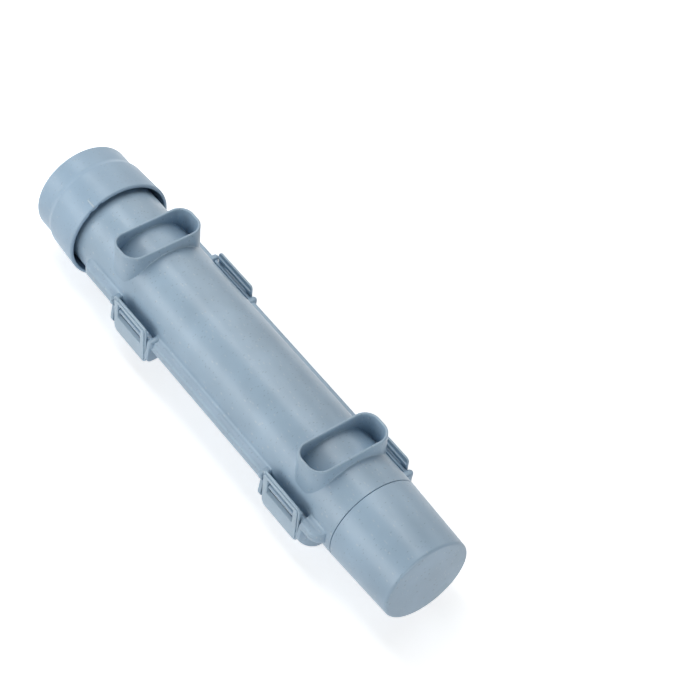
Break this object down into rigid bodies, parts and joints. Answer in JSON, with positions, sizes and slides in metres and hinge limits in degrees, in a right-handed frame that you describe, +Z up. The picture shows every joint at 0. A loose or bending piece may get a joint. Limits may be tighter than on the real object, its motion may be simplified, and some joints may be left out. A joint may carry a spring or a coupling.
{
  "type": "sushi rice mold press",
  "caption": "Tube-shaped rice press: two half shells locked by rocker clips, a push-fit nose cap and a plunger with a skirted handle, standing on oval hoops.",
  "frame": {"origin": "centre of the bounding box's base: on the floor under the press, midway between its closed handle end and its nose", "axes": "+X along the barrel from the handle to the nose cap, +Y to the far side in the picture, +Z up from the lower stands to the upper stands"},
  "size_m": [0.3048, 0.0648, 0.0612],
  "materials": {
    "outer_plastic": "satin pale grey-blue moulded plastic with fine low-contrast fibre flecks",
    "inner_plastic": "plain pale grey-blue moulded plastic, hidden inside the barrel"
  },
  "bodies": {
    "barrel": {"lower_shell": "outer_plastic", "upper_shell": "outer_plastic"},
    "near_rear_clip": {"clip_near_rear": "outer_plastic"},
    "near_front_clip": {"clip_near_front": "outer_plastic"},
    "far_rear_clip": {"clip_far_rear": "outer_plastic"},
    "far_front_clip": {"clip_far_front": "outer_plastic"},
    "front_cap": {"nose_cap": "outer_plastic"},
    "plunger": {"plunger_handle": "outer_plastic", "plunger_rod": "inner_plastic", "piston_head": "inner_plastic"}
  },
  "joints": [
    {"name": "near_rear_clip_hinge", "type": "hinge", "parent": "barrel", "child": "near_rear_clip", "pos_m": [-0.0558, -0.0296, 0.0213], "axis": [1, 0, 0], "range_deg": [0, 70]},
    {"name": "near_front_clip_hinge", "type": "hinge", "parent": "barrel", "child": "near_front_clip", "pos_m": [0.0774, -0.0296, 0.0213], "axis": [1, 0, 0], "range_deg": [0, 70]},
    {"name": "far_rear_clip_hinge", "type": "hinge", "parent": "barrel", "child": "far_rear_clip", "pos_m": [-0.0516, 0.0296, 0.0213], "axis": [-1, 0, 0], "range_deg": [0, 70]},
    {"name": "far_front_clip_hinge", "type": "hinge", "parent": "barrel", "child": "far_front_clip", "pos_m": [0.0816, 0.0296, 0.0213], "axis": [-1, 0, 0], "range_deg": [0, 70]},
    {"name": "nose_cap_slide", "type": "slide", "parent": "barrel", "child": "front_cap", "axis": [1, 0, 0], "range_m": [0, 0.04]},
    {"name": "plunger_slide", "type": "slide", "parent": "barrel", "child": "plunger", "axis": [-1, 0, 0], "range_m": [0, 0.23]}
  ]
}
